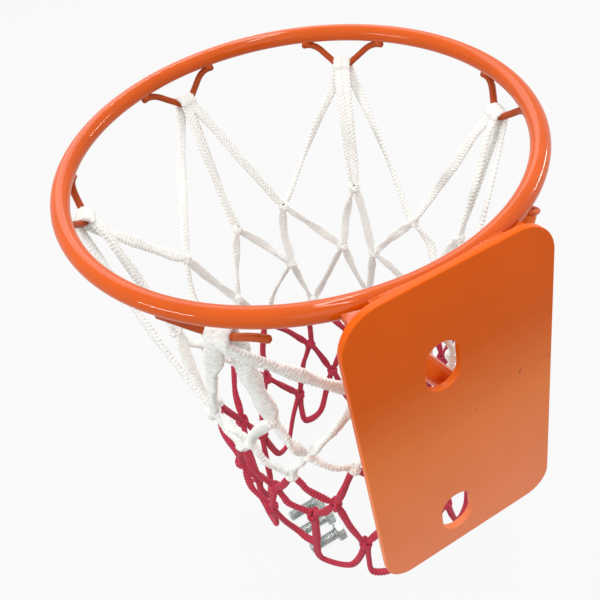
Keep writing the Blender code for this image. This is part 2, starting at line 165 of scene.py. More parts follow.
# Knots that hang out of line, row by row, by number: turn in degrees, out and down in millimetres
MILLIMETRES = 1000
KNOT_SHIFTS = (
    {
        0: (-4, 10, 24), 1: (-3, 4, 14), 4: (0, 2, 6), 5: (0, -2, 14), 6: (-1, 0, -6), 7: (3, 0, 0),
        8: (-2, 0, 1), 9: (3, 0, -12), 10: (0, 8, 10), 11: (-3, 10, 40),
    },
    {
        0: (-13, 6, 22), 5: (8, 0, 4), 6: (-6, 0, -2), 7: (-8, 0, 3), 8: (-3, 0, 4), 9: (0, 4, 6),
        10: (-2, 10, 20), 11: (-6, 10, 18),
    },
    {0: (-10, 2, 9), 1: (-12, 0, 2), 10: (-2, 6, -4), 11: (0, 8, -10)},
    {0: (-9, 1, -3), 7: (-7, 0, 2), 8: (-4, -1, 4), 10: (0, 6, -8), 11: (-6, 5, -11)},
    {0: (-7, 1, -28), 1: (-15, 1, 3), 7: (-1, 0, -5), 8: (-7, -1, 2), 11: (0, 6, -20)},
    {0: (-19, -2, -4), 1: (-24, 1, 0), 7: (5, -7, -13), 10: (-2, 2, -17), 11: (-5, -4, -21)},
)
# A free loop's foot: half its width, the loops that are wider, and its rise at the sides
FOOT_HALF_WIDTH = 0.0105
WIDE_FEET = {0: 0.0145}
FOOT_RISE = 0.0032
# The white cord has fluffed up towards this side of the net: by this share, and with fibres this rough
FLUFF_ANGLE = math.radians(25.0)
FLUFF_SHARE = 0.25
FLUFF_ROUGHNESS = 0.00022
# How much wider the cord lies over a hook, and its waves on the way there: (share of the way, rise)
HOOK_SPREAD_SHARE = 1.12
LOOP_SWELL = 1.5
LOOP_WAVES = ((0.0, 0.0), (0.18, 0.7), (0.34, -0.5), (0.5, 0.8), (0.66, -0.6), (0.82, 1.0))
# Degrees of the cord's bend over a hook's wire, and its lift off it, in seat gaps: one loop lies higher
LOOP_TURNS = (-105, -70, -35, 0, 35, 70, 105)
LOOP_LIFT = 1.5
# How far a loop's outer leg bulges out and drops under the hook, and its inner leg is drawn in
LOOP_BULGE = 0.002
LOOP_DRAW = 0.0012
# Loops whose front leg runs to the knot between hooks, not to the knot under the hook: (hook, side)
CROSSED_LOOPS = ((2, 1), (4, -1))
# Legs between knots: how far they bow out and sway aside, where most, and their twist; then a free loop's
LEG_BOW = 0.0015
LEG_BOW_SPREAD = (-0.001, 0.0025)
LEG_SWAY = 0.0018
LEG_LEAN = (0.35, 0.65)
LEG_TWIST = 0.75
LOOP_BOW_SPREAD = (-0.002, 0.003)
LOOP_TWIST = 0.6
# A cord's own unevenness: (share of its width, waves' radians per metre)
WAVERS = ((0.06, 140.0), (0.03, 410.0))
# The sections of cord are squarer than an ellipse, by these powers
TAPE_POWER = 2.5
WRAP_POWER = 2.4
# A rib's height along the middle of the cord, what it gains at the edges, and the groove down the middle
RIB_HEIGHT = 0.00020
RIB_EDGE_HEIGHT = 0.00034
MIDDLE_GROOVE = 0.00010
MIDDLE_GROOVE_SHARE = 0.16
RIB_POWER = 0.8
RIB_MEAN = 0.6
# What fluff hides of the ribs, and the fibres that show without it
FLUFF_HIDES = 0.7
LEAST_FIBRES = 0.05

# Knots: a wrap and the bight drawn across it, each with its turns, rise and share of the cord's width
WRAP = (1.6, 0.0034, 0.72)
BIGHT = (1.0, 0.0012, 0.5)
WRAP_STEPS = 10
WRAP_TUCK = 0.45
KNOT_TILT = 0.28
BIGHT_SLANT = 0.8
BIGHT_OUT = 0.0009
# Where a cord goes into a knot, aside from its middle and above or below it
ENTRY_ASIDE = 0.0013
ENTRY_ABOVE = 0.0014

# The plate's coat, deeper orange towards its top and lighter towards its bottom as a painted reflection of
# the floor: (height, colour)
PLATE_REFLECTION_TONES = (
    (-0.095, (0.90, 0.249, 0.104)), (-0.005, (0.83, 0.209, 0.048)), (0.045, (0.70, 0.106, 0.001)),
    (0.095, (0.78, 0.110, 0.000)),
)
# Scuffs on the plate's back: (place, size); and the bare colour in a chip or scuff
PLATE_SCUFFS = (
    ((-0.0349, 0.0, 0.0108), 0.0011), ((-0.0354, 0.0, 0.0120), 0.0013), ((-0.0522, 0.0, 0.0110), 0.0009),
    ((-0.0530, 0.0, 0.0118), 0.0010), ((-0.0080, 0.0, 0.0027), 0.0008),
)
CHIP_COLOUR = (0.30, 0.07, 0.03)
# Fleck noise above this level is a chip
CHIP_LEVEL = 0.815

# Mounting bolts
BOLT_RADIUS = 0.004
BOLT_LENGTH = 0.022
BOLT_TIP = 0.001
BOLT_HEAD_WIDTH = 0.013
BOLT_HEAD_HEIGHT = 0.0053
BOLT_FACE_SHARE = 0.985
BOLT_CHAMFER_SLOPE = 2.4
BOLT_TIP_SLOPE = 0.9
THREAD_PITCH = 0.0015
THREAD_DEPTH = 0.0008
THREAD_RUNOUT = 0.002
# Sections to a pitch, the first one's distance under the head, and a section's sides
THREAD_SECTIONS = 8
BOLT_FIRST_SECTION = 0.00005
BOLT_SIDES = 48
BOLT_COUNT = 3
# Sections along the head, closest at its chamfers
BOLT_HEAD_SECTIONS = (
    0.0, 0.0001, 0.0003, 0.0006, 0.0010, 0.0014, 0.0026, 0.0039, 0.0043, 0.0047, 0.0050, 0.0052, 0.0053,
)

# Light: the world's share, and the lamps' names, places, widths and heights, and watts
WORLD_LIGHT = 0.85
LAMPS = (
    ("window", (-0.33, -1.40, 1.15), (1.3, 1.0), 9.5),
    ("fill", (0.45, 1.45, 0.75), (1.2, 1.0), 4.0),
    ("far_strip", (-0.32, -0.62, 1.45), (0.06, 0.7), 4.0),
    ("near_strip", (0.0, 0.22, 1.45), (0.05, 0.5), 3.0),
    ("left_strip", (1.20, 0.02, 0.42), (0.50, 0.04), 4.5),
    ("right_strip", (-1.20, -0.02, 0.36), (0.40, 0.04), 3.0),
)

LOOPS = 2 * len(HOOK_ANGLES)
RIM_LEVEL = PLATE_HEIGHT / 2 - RIM_BELOW_PLATE_TOP
RIM_CENTRE = Vector((
    0.0,
    -(PLATE_THICKNESS + SEAT_GAP + RIM_ROD_RADIUS) - RIM_RADIUS * math.cos(RIM_RISE),
    RIM_LEVEL + RIM_RADIUS * math.sin(RIM_RISE),
))
RIM_TURN = Matrix.Rotation(-RIM_RISE, 3, "X")

# Floor
FLOOR_GAP = 0.0002
FLOOR_REACH = 4.0
FLOOR_COLOUR = (0.28, 0.28, 0.27)
# How much of the floor's look is plain white; the rest shows the shadow
FLOOR_WHITE_SHARE = 0.92

UP = np.array((0.0, 0.0, 1.0))

# Seeded chance, and the ends of its ranges for a wave's start and a knot's turn
chance = random.Random(11)
fuzz = np.random.default_rng(5)
ANY_START = 6.0
ANY_TURN = 6.28


def unit(vector):
    return vector / np.linalg.norm(vector)


def run_along(path):
    """The distance along a path to each of its points."""
    return np.concatenate([[0.0], np.cumsum(np.linalg.norm(np.diff(path, axis=0), axis=1))])


def rim_point(angle, radius, height):
    """A point in the ring's own rising frame: angle in degrees from +X, height along its axis."""
    turn = math.radians(angle)
    flat = Vector((radius * math.cos(turn), radius * math.sin(turn), height))
    return np.array(RIM_CENTRE + RIM_TURN @ flat)


# Shapes swept along paths

# A smooth curve's steps between two given points, a path's fewest spans, the least share of a dome's depth,
# and the rise above which a run is steep
CURVE_STEPS = 12
LEAST_SPANS = 4
DOME_TIP_SHARE = 0.02
STEEP = 0.9


def smooth_path(points, spacing, closed=False):
    """Evenly spaced points on a smooth curve through the given ones."""
    points = np.array(points, float)
    if closed:
        points = np.vstack([points[-2:], points, points[:2]])
    step = np.diff(points, axis=0)
    gap = np.sqrt(np.linalg.norm(step, axis=1))[:, None]
    speed = step / gap
    between = (speed[:-1] * gap[1:] + speed[1:] * gap[:-1]) / (gap[1:] + gap[:-1])
    slope = np.vstack([speed[:1], between, speed[-1:]])
    first, last = (2, len(points) - 2) if closed else (0, len(points) - 1)
    t = np.linspace(0, 1, CURVE_STEPS, endpoint=False)[:, None]
    rows = []
    for i in range(first, last):
        rows.append(
            (2 * t ** 3 - 3 * t ** 2 + 1) * points[i] + (t ** 3 - 2 * t ** 2 + t) * gap[i] * slope[i]
            + (3 * t ** 2 - 2 * t ** 3) * points[i + 1] + (t ** 3 - t ** 2) * gap[i] * slope[i + 1]
        )
    dense = np.vstack(rows + [points[last:last + 1]])
    run = run_along(dense)
    at = np.linspace(0.0, run[-1], max(round(run[-1] / spacing), LEAST_SPANS) + 1)
    path = np.stack([np.interp(at, run, dense[:, axis]) for axis in range(3)], axis=1)
    return path[:-1] if closed else path


def tangents(path, closed=False):
    if closed:
        step = np.roll(path, -1, axis=0) - np.roll(path, 1, axis=0)
    else:
        step = np.vstack([path[1:], path[-1:]]) - np.vstack([path[:1], path[:-1]])
    return step / np.linalg.norm(step, axis=1)[:, None]


def square_to(direction, tangent):
    return unit(direction - tangent * (direction @ tangent))


def width_directions(tangent, keys):
    """Directions across a path that turn evenly between keys of (station, direction)."""
    side = square_to(np.array(keys[0][1], float), tangent[keys[0][0]])
    across = np.empty_like(tangent)
    for (first, _), (last, wanted) in zip(keys, keys[1:]):
        carried = [side]
        for i in range(first + 1, last + 1):
            carried.append(square_to(carried[-1], tangent[i]))
        carried = np.array(carried)
        goal = square_to(np.array(wanted, float), tangent[last])
        over = np.cross(tangent[last], carried[-1])
        turn = math.atan2(goal @ over, goal @ carried[-1])
        turn = (turn + math.pi / 2) % math.pi - math.pi / 2
        share = np.linspace(0.0, turn, last - first + 1)[:, None]
        turned = np.cos(share) * carried + np.sin(share) * np.cross(tangent[first:last + 1], carried)
        across[first:last + 1] = turned
        side = turned[-1]
    return across


def round_ends(path, radius):
    """Shares that close a swept section to a dome at both ends."""
    run = run_along(path)
    near = np.minimum(run, run[-1] - run) / radius
    return np.sqrt(np.clip(1.0 - (1.0 - np.clip(near, DOME_TIP_SHARE, 1.0)) ** 2, 0.0, 1.0))


class Body:
    """Collects swept shapes into one mesh."""

    def __init__(self):
        self.points = []
        self.faces = []
        self.corners = []
        self.count = 0

    def sweep(self, path, across, half_width, half_depth, sides, power=2.0, relief=None, closed=False):
        """Carries a section along a path: power squares it up and relief lifts its surface. The UV map has
        the place across it, from 0 to 1, and the run in metres."""
        tangent = tangents(path, closed)
        deep = np.cross(tangent, across)
        wide = np.broadcast_to(half_width, len(path))[:, None]
        thick = np.broadcast_to(half_depth, len(path))[:, None]
        turn = 2 * math.pi * np.arange(sides) / sides
        cos = np.sign(np.cos(turn)) * np.abs(np.cos(turn)) ** (2 / power)
        sin = np.sign(np.sin(turn)) * np.abs(np.sin(turn)) ** (2 / power)
        x = cos[None] * wide
        y = sin[None] * thick
        run = run_along(path)
        if relief is not None:
            lift = relief(run[:, None], cos[None], sin[None])
            scale = np.hypot(cos[None] * thick, sin[None] * wide)
            x = x + lift * cos[None] * thick / scale
            y = y + lift * sin[None] * wide / scale
        rings = path[:, None] + across[:, None] * x[..., None] + deep[:, None] * y[..., None]
        self.points.append(rings.reshape(-1, 3))
        rows = len(path) if closed else len(path) - 1
        i = np.repeat(np.arange(rows), sides)
        j = np.tile(np.arange(sides), rows)
        after = (i + 1) % len(path)
        beside = (j + 1) % sides
        here = i * sides
        ahead = after * sides
        quads = np.stack([here + j, here + beside, ahead + beside, ahead + j], axis=1)
        self.faces += (quads + self.count).tolist()
        lane = np.concatenate([cos, cos[:1]]) * 0.5 + 0.5
        run_on = run[i] + np.linalg.norm(path[after] - path[i], axis=1)
        lanes = np.stack([lane[j], lane[j + 1], lane[j + 1], lane[j]], axis=1)
        runs = np.stack([run[i], run[i], run_on, run_on], axis=1)
        self.corners.append(np.stack([lanes, runs], axis=2).reshape(-1, 2))
        if not closed:
            last = self.count + (len(path) - 1) * sides
            self.faces.append(list(range(self.count + sides - 1, self.count - 1, -1)))
            self.faces.append(list(range(last, last + sides)))
            self.corners.append(np.full((2 * sides, 2), 0.5))
        self.count += len(path) * sides

    def tube(self, points, radius, sides, spacing, closed=False, dome=0.0, swell=None):
        """Adds a round rod through the points; dome is the length of its domed ends, swell its swelling."""
        path = smooth_path(points, spacing, closed)
        tangent = tangents(path, closed)
        start = np.array((0.0, 0.0, 1.0) if abs(tangent[0][2]) < STEEP else (1.0, 0.0, 0.0))
        if closed:
            across = np.array([square_to(start, one) for one in tangent])
        else:
            across = width_directions(tangent, [(0, start), (len(path) - 1, start)])
        size = np.full(len(path), radius)
        if swell is not None:
            size = size * swell(path)
        if dome:
            size = size * round_ends(path, dome)
        self.sweep(path, across, size, size, sides, closed=closed)

    def finish(self, name, material, slot, replaced=()):
        """Makes the collected mesh an object that rides on the hoop."""
        data = new_mesh(name, np.vstack(self.points).tolist(), self.faces)
        layer = data.uv_layers.new(name="UVMap")
        layer.uv.foreach_set("vector", np.vstack(self.corners).astype(np.float32).ravel())
        data.shade_smooth()
        placed(name, data, material, replaced)


def new_mesh(name, points, faces):
    data = bpy.data.meshes.new(name)
    data.from_pydata(points, [], faces)
    return data


def linked(name, data):
    """A new object in the scene."""
    thing = bpy.data.objects.new(name, data)
    bpy.context.scene.collection.objects.link(thing)
    return thing


def placed(name, data, material, replaced=()):
    """Makes a mesh a piece that rides on the hoop's one body."""
    piece = linked(name, data)
    data.materials.append(material)
    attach(piece, "root")
    if replaced:
        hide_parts(*replaced)


def closed_skin(rows, size, reverse=False):
    """Faces over rows of points round a solid, ends closed; reverse where the rows run the other way."""
    faces = []
    for row in range(rows - 1):
        for step in range(size):
            here = row * size + step
            beside = row * size + (step + 1) % size
            if reverse:
                faces.append((here, here + size, beside + size, beside))
            else:
                faces.append((here, beside, beside + size, here + size))
    first = tuple(range(size))
    last = tuple(range((rows - 1) * size, rows * size))
    faces += [first, last[::-1]] if reverse else [first[::-1], last]
    return faces


def smooth_but(data, angle):
    """Shades a mesh smooth but for edges past an angle in degrees."""
    data.shade_smooth()
    data.set_sharp_from_angle(angle=math.radians(angle))


# Materials

# Noises as (scale, detail, roughness), then bumps as (depth, strength)
MOTTLE = (22.0, 5.0, 0.5)
FLECK = (420.0, 2.0, 0.5)
RAGGED = (900.0, 3.0, 0.5)
GLOSS_CLOUD = (60.0, 4.0, 0.5)
PEEL = (380.0, 2.0, 0.5)
LONG_WAVE = (55.0, 1.0, 0.5)
FIBRE = (2600.0, 3.0, 0.7)
CORD_CLOUD = (90.0, 3.0, 0.5)
LINT = (800.0, 3.0, 0.7)
ZINC_CLOUD = (160.0, 4.0, 0.5)
SCRATCH = (1500.0, 3.0, 0.5)
PEEL_BUMP = (0.00012, 0.5)
WAVE_BUMP = (0.0006, 0.35)
FIBRE_BUMP = (0.00012, 0.4)
LINT_BUMP = (0.0005, 0.55)
RIB_BUMP = (0.00025, 0.6)
SCRATCH_BUMP = (0.00008, 0.4)
# Ranges of roughness: the paint's round its gloss, the cord's and the zinc's
GLOSS_SPREAD = (-0.06, 0.08)
CORD_ROUGHNESS = (0.72, 0.95)
ZINC_ROUGHNESS = (0.30, 0.46)
ZINC_TONES = ((0.3, (0.32, 0.36, 0.36)), (0.7, (0.60, 0.64, 0.61)))
# How much a cord's fibres vary its colour, and how narrow the painted shade between its ribs is
FIBRE_SHARE = 0.25
HOLLOW_POWER = 2.2


class Nodes:
    """Short hands for building the nodes of a material or of the world."""

    def __init__(self, owner):
        owner.use_nodes = True
        self.owner = owner
        self.tree = owner.node_tree

    def add(self, kind, **settings):
        node = self.tree.nodes.new(kind)
        for key, value in settings.items():
            setattr(node, key, value)
        return node

    def give(self, node, values):
        """Sets sockets, by name or number, to numbers, colours or other nodes' outputs."""
        for key, value in values.items():
            socket = node.inputs[key]
            if isinstance(value, bpy.types.NodeSocket):
                self.tree.links.new(value, socket)
            elif socket.type == "RGBA":
                socket.default_value = (*value, 1.0)
            else:
                socket.default_value = value

    def place(self, kind="Object"):
        return self.add("ShaderNodeTexCoord").outputs[kind]

    def axes(self, place):
        node = self.add("ShaderNodeSeparateXYZ")
        self.give(node, {0: place})
        return node.outputs

    def noise(self, place, kind):
        scale, detail, roughness = kind
        node = self.add("ShaderNodeTexNoise")
        self.give(node, {"Vector": place, "Scale": scale, "Detail": detail, "Roughness": roughness})
        return node.outputs["Fac"]

    def ramp(self, value, stops):
        node = self.add("ShaderNodeValToRGB")
        elements = node.color_ramp.elements
        while len(elements) < len(stops):
            elements.new(0.5)
        for element, (place, colour) in zip(elements, stops):
            element.position = place
            element.color = (*colour, 1.0)
        self.give(node, {"Fac": value})
        return node.outputs["Color"]

    def math(self, kind, first, second=None):
        node = self.add("ShaderNodeMath", operation=kind)
        self.give(node, {0: first} if second is None else {0: first, 1: second})
        return node.outputs[0]

    def mix(self, share, first, second, blend="MIX"):
        node = self.add("ShaderNodeMix", data_type="RGBA", blend_type=blend)
        self.give(node, {0: share, 6: first, 7: second})
        return node.outputs[2]

    def spread(self, value, low, high, start=0.0, end=1.0):
        """Maps start to end on to low to high."""
        node = self.add("ShaderNodeMapRange")
        self.give(node, {"Value": value, "From Min": start, "From Max": end, "To Min": low, "To Max": high})
        return node.outputs["Result"]

    def bump(self, height, kind, under=None):
        depth, strength = kind
        node = self.add("ShaderNodeBump")
        self.give(node, {"Height": height, "Distance": depth, "Strength": strength})
        if under is not None:
            self.give(node, {"Normal": under})
        return node.outputs["Normal"]

    def seen_ray(self):
        """1 for rays from the camera, in a reflection or through glass."""
        light = self.add("ShaderNodeLightPath").outputs
        seen = self.math("MAXIMUM", light["Is Camera Ray"], light["Is Glossy Ray"])
        return self.math("MAXIMUM", seen, light["Is Transmission Ray"])


def paint(name, light, dark, gloss=0.28, coat=0.25, scuffs=(), reflection_fade=(), haze=0.04):
    """Glossy baked paint, mottled, with orange peel and a few chips. Scuffs are (place, size),
    reflection_fade has (height, colour) stops of a painted reflection that lightens the paint towards the
    bottom, and haze is the shine under the clear coat."""
    nodes = Nodes(bpy.data.materials.new(name))
    place = nodes.place()
    colour = nodes.ramp(nodes.noise(place, MOTTLE), [(0.35, dark), (0.65, light)])
    # Painted reflection: the stops lighten the paint towards the plate's bottom, as the floor's light would
    if reflection_fade:
        half = PLATE_HEIGHT / 2
        level = nodes.spread(nodes.axes(place)["Z"], 0.0, 1.0, -half, half)
        stops = [(height / PLATE_HEIGHT + 0.5, tone) for height, tone in reflection_fade]
        colour = nodes.mix(1.0, nodes.ramp(level, stops), colour, "MULTIPLY")
    chip = nodes.math("GREATER_THAN", nodes.noise(place, FLECK), CHIP_LEVEL)
    for spot, size in scuffs:
        away = nodes.add("ShaderNodeVectorMath", operation="DISTANCE")
        nodes.give(away, {0: place, 1: spot})
        ragged = nodes.math("MULTIPLY", nodes.noise(place, RAGGED), size)
        chip = nodes.math("MAXIMUM", chip, nodes.math("LESS_THAN", away.outputs["Value"], ragged))
    rough = nodes.spread(nodes.noise(place, GLOSS_CLOUD), *(gloss + change for change in GLOSS_SPREAD))
    peel = nodes.bump(nodes.noise(place, PEEL), PEEL_BUMP)
    nodes.give(nodes.tree.nodes["Principled BSDF"], {
        "Base Color": nodes.mix(chip, colour, CHIP_COLOUR),
        "Roughness": rough,
        "Normal": nodes.bump(nodes.noise(place, LONG_WAVE), WAVE_BUMP, peel),
        "Specular IOR Level": haze,
        "Coat Weight": coat,
        "Coat Roughness": 0.05,
    })
    return nodes.owner


def braid(name, light, mid, groove, depth, weave, sheen):
    """Braided cord: ribs in a V across the flat side, painted shade in the grooves between them, lint and
    fine fibres.
    """
    pitch, slant, _ = weave
    nodes = Nodes(bpy.data.materials.new(name))
    axes = nodes.axes(nodes.place("UV"))
    lane = nodes.math("ABSOLUTE", nodes.math("SUBTRACT", nodes.math("MULTIPLY", axes["X"], 2.0), 1.0))
    along = nodes.math("DIVIDE", axes["Y"], pitch)
    phase = nodes.math("ADD", along, nodes.math("MULTIPLY", lane, slant))
    rib = nodes.math("ABSOLUTE", nodes.math("SINE", nodes.math("MULTIPLY", phase, math.pi)))
    place = nodes.place()
    fibre = nodes.noise(place, FIBRE)
    colour = nodes.mix(nodes.noise(place, CORD_CLOUD), mid, light)
    colour = nodes.mix(nodes.spread(fibre, 0.0, FIBRE_SHARE), colour, mid)
    groove_shade = nodes.math("POWER", nodes.math("SUBTRACT", 1.0, rib), HOLLOW_POWER)
    fine = nodes.bump(fibre, FIBRE_BUMP)
    lint = nodes.bump(nodes.noise(place, LINT), LINT_BUMP, fine)
    nodes.give(nodes.tree.nodes["Principled BSDF"], {
        # Painted shade: the colour darkens towards the groove tone between the ribs, by depth
        "Base Color": nodes.mix(nodes.math("MULTIPLY", groove_shade, depth), colour, groove),
        "Roughness": nodes.spread(fibre, *CORD_ROUGHNESS),
        "Normal": nodes.bump(rib, RIB_BUMP, lint),
        "Sheen Weight": sheen,
        "Sheen Roughness": 0.5,
        "Specular IOR Level": 0.3,
    })
    return nodes.owner


def zinc(name):
    """Zinc plating, cloudy and a little scratched."""
    nodes = Nodes(bpy.data.materials.new(name))
    place = nodes.place()
    cloud = nodes.noise(place, ZINC_CLOUD)
    nodes.give(nodes.tree.nodes["Principled BSDF"], {
        "Base Color": nodes.ramp(cloud, ZINC_TONES),
        "Roughness": nodes.spread(cloud, *ZINC_ROUGHNESS),
        "Normal": nodes.bump(nodes.noise(place, SCRATCH), SCRATCH_BUMP),
        "Metallic": 1.0,
    })
    return nodes.owner


def make_materials():
    """Each finish by its name, with its light and dark tones; a cord has a tone of painted shade for its
    grooves too.
    """
    return {
        # The plate's paint carries a painted reflection of the floor, lighter towards its bottom
        "plate": paint(
            "plate_coat", (1.0, 1.0, 1.0), (0.95, 0.94, 0.90), gloss=0.38, coat=0.04,
            scuffs=PLATE_SCUFFS, reflection_fade=PLATE_REFLECTION_TONES, haze=0.12,
        ),
        "ring": paint("ring_coat", (0.64, 0.092, 0.003), (0.58, 0.081, 0.002), coat=0.45),
        "bracket": paint("bracket_coat", (0.62, 0.090, 0.004), (0.56, 0.076, 0.003), coat=0.12),
        # Painted light: the braces take a lighter copy of the orange coat, for light they lose in the
        # plate's shade
        "brace": paint("brace_coat_painted_light", (0.90, 0.185, 0.022), (0.82, 0.160, 0.016), coat=0.35),
        "weld": paint("weld_coat", (0.70, 0.110, 0.006), (0.62, 0.086, 0.004), gloss=0.22, coat=0.35),
        # Painted shade: the hooks take a darker, browner copy of the orange coat, for the shade they hang
        # in
        "hook": paint("hook_coat", (0.46, 0.076, 0.014), (0.37, 0.056, 0.010), gloss=0.22),
        # The cords' third tones are painted shade for the grooves between their ribs
        "white": braid(
            "white_cord", (0.94, 0.955, 0.93), (0.91, 0.92, 0.88), (0.74, 0.73, 0.66),
            depth=0.35, weave=WHITE_CORD.weave, sheen=0.2,
        ),
        "red": braid(
            "red_cord", (0.64, 0.046, 0.098), (0.48, 0.030, 0.062), (0.17, 0.010, 0.020),
            depth=0.75, weave=RED_CORD.weave, sheen=0.15,
        ),
        "zinc": zinc("zinc"),
    }


# Ring, plate, braces and hooks

def build_ring(finish):
    body = Body()
    points = [rim_point(360 * step / RIM_STEPS, RIM_RADIUS, 0.0) for step in range(RIM_STEPS)]
    body.tube(points, RIM_ROD_RADIUS, sides=36, spacing=0.0022, closed=True)
    body.finish("ring", finish, "ring_coat", ("rim_ring",))


def arc(centre, radius, start, end, steps):
    turns = np.radians(np.linspace(start, end, steps + 1))
    return [(centre[0] + radius * math.cos(turn), centre[1] + radius * math.sin(turn)) for turn in turns]


def plate_outline(inset):
    low, top = PLATE_LOW_CORNER, PLATE_TOP_CORNER
    outline = []
    for x, y, corner, start in ((1, -1, low, -90), (1, 1, top, 0), (-1, 1, top, 90), (-1, -1, low, 180)):
        centre = (x * (PLATE_WIDTH / 2 - corner), y * (PLATE_HEIGHT / 2 - corner))
        outline += arc(centre, corner - inset, start, start + 90, CORNER_STEPS)
    return outline


def slot_outline(height, inset):
    radius = SLOT_WIDTH / 2
    straight = SLOT_HEIGHT / 2 - radius
    return (
        arc((SLOT_OFFSET, height + straight), radius + inset, 0, 180, SLOT_STEPS)
        + arc((SLOT_OFFSET, height - straight), radius + inset, 180, 360, SLOT_STEPS)
    )


def build_plate(finish):
    """A flat curve with two slots, given its thickness and a round edge, turned upright."""
    data = bpy.data.curves.new("plate_shape", "CURVE")
    data.dimensions = "2D"
    data.fill_mode = "BOTH"
    data.extrude = PLATE_THICKNESS / 2 - PLATE_EDGE_ROUND
    data.bevel_depth = PLATE_EDGE_ROUND
    data.bevel_resolution = 3
    heights = (RIM_LEVEL - SLOT_BELOW_RIM, SLOT_ABOVE_LOW_EDGE - PLATE_HEIGHT / 2)
    outlines = [plate_outline(PLATE_EDGE_ROUND)] + [slot_outline(one, PLATE_EDGE_ROUND) for one in heights]
    for outline in outlines:
        spline = data.splines.new("POLY")
        spline.points.add(len(outline) - 1)
        spline.use_cyclic_u = True
        for point, (x, y) in zip(spline.points, outline):
            point.co = (x, y, 0.0, 1.0)
    flat = linked("plate_shape", data)
    bpy.context.view_layer.update()
    mesh = bpy.data.meshes.new_from_object(flat.evaluated_get(bpy.context.evaluated_depsgraph_get()))
    bpy.data.objects.remove(flat, do_unlink=True)
    mesh.materials.clear()
    upright = Matrix.Rotation(math.radians(90), 4, "X")
    mesh.transform(Matrix.Translation((0.0, -PLATE_THICKNESS / 2, 0.0)) @ upright)
    smooth_but(mesh, angle=35)
    placed("plate", mesh, finish, ("back_plate",))


def brace_points(foot_x, angle):
    """A brace's run: square off the plate, bent at the knee and up to the ring's underside."""
    foot = np.array((foot_x, -PLATE_THICKNESS - SEAT_GAP, RIM_LEVEL - BRACE_FOOT_BELOW_RIM))
    knee = foot + np.array((0.0, -BRACE_STAND_OFF, 0.0))
    seat = rim_point(angle, RIM_RADIUS, -(RIM_ROD_RADIUS + SEAT_GAP))
    slope = unit(seat - knee)
    top = seat - slope * (BRACE_RADIUS * math.sqrt(1.0 - slope[2] ** 2) / slope[2])
    start = knee + unit(foot - knee) * BRACE_BEND
    end = knee + slope * BRACE_BEND
    points = [foot, (foot + start) / 2]
    for t in np.linspace(0.0, 1.0, BRACE_BEND_STEPS + 1):
        points.append(start * (1 - t) ** 2 + 2 * knee * t * (1 - t) + end * t ** 2)
    return points + [end + (top - end) * share for share in (0.15, 0.5, 0.85, 1.0)]


def build_braces(materials):
    feet = (BRACE_FOOT_X, BRACE_FOOT_X - 2 * BRACE_RADIUS - BRACE_FEET_APART)
    for side, foot_x, angle in zip(("left", "right"), feet, BRACE_ANGLES):
        points = brace_points(foot_x, angle)
        body = Body()
        body.tube(points, BRACE_RADIUS, sides=32, spacing=0.0012, dome=0.0012)
        body.finish(f"brace_{side}_tube", materials["brace"], "bracket_coat", (f"brace_{side}",))
        weld = Body()
        away = np.array((0.0, -1.0, 0.0))
        foot = ring_round(points[0] + away * FOOT_BEAD_OUT, away, BRACE_RADIUS + FOOT_BEAD_OUT)
        add_bead(weld, foot, FOOT_BEAD_RADIUS, closed=True)
        slope = unit(points[-1] - points[-2])
        top = ring_round(points[-1] - slope * TOP_BEAD_BACK, slope, BRACE_RADIUS - TOP_BEAD_IN)
        add_bead(weld, top, TOP_BEAD_RADIUS, closed=True)
        weld.finish(f"brace_{side}_welds", materials["weld"], "bracket_coat")


def ring_round(centre, axis, radius, steps=24):
    """Points of a circle round an axis, begun on a side that no axis here runs along."""
    first = square_to(np.array((0.3, 0.2, 1.0)), axis)
    second = np.cross(axis, first)
    turns = np.linspace(0, 2 * math.pi, steps, endpoint=False)
    return [centre + radius * (math.cos(turn) * first + math.sin(turn) * second) for turn in turns]


def add_bead(body, points, radius, closed=False):
    """A weld bead: a round run with the scales that the torch leaves."""
    start = chance.uniform(0.0, ANY_START)

    def scales(path):
        run = np.arange(len(path)) * BEAD_SPACING
        wobble = sum(np.sin(run * rate + turn * start) * share for share, rate, turn in BEAD_WOBBLES)
        return 1.0 + wobble + BEAD_SCALE_HEIGHT * np.abs(np.sin(run * math.pi / BEAD_SCALE_LENGTH))

    dome = 0.0 if closed else BEAD_DOME_SHARE * radius
    body.tube(points, radius, sides=14, spacing=BEAD_SPACING, closed=closed, dome=dome, swell=scales)


def hook_place(angle, side, station):
    """A place on one side of the hook at an angle round the ring, at a station of its arm."""
    across, inwards, down = station
    seat = -(RIM_ROD_RADIUS + SEAT_GAP + HOOK_WIRE_RADIUS)
    turn = angle + side * across * HOOK_HALF_SPREAD
    free = across if stands_free(angle, side) else 0.0
    radius = RIM_RADIUS - inwards * HOOK_REACH + free * FREE_FOOT_OUT
    return rim_point(turn, radius, seat - down * HOOK_DROP - free * FREE_FOOT_DROP)


def stands_free(angle, side):
    return side > 0 and angle == HOOK_ANGLES[0]


def build_hooks(materials):
    for number, angle in enumerate(HOOK_ANGLES, start=1):
        route = [hook_place(angle, -1, station) for station in HOOK_ARM]
        route.append(hook_place(angle, 1, (0.0, 1.0, 1.0)))
        route += [hook_place(angle, 1, station) for station in reversed(HOOK_ARM)]
        body = Body()
        body.tube(route, HOOK_WIRE_RADIUS, sides=20, spacing=0.0006, dome=0.0016)
        body.finish(f"hook_{number}", materials["hook"], "hook_coat", (f"net_hook_{number}",))
        weld = Body()
        for side in (-1, 1):
            if stands_free(angle, side):
                continue
            run = []
            for across in HOOK_WELD_SHARES:
                turn = angle + side * across * HOOK_HALF_SPREAD
                wander = chance.uniform(-HOOK_BEAD_WANDER, HOOK_BEAD_WANDER)
                run.append(rim_point(turn, RIM_RADIUS + wander, -RIM_ROD_RADIUS + HOOK_BEAD_SINK))
            add_bead(weld, run, HOOK_BEAD_RADIUS)
        weld.finish(f"hook_{number}_welds", materials["weld"], "hook_coat")


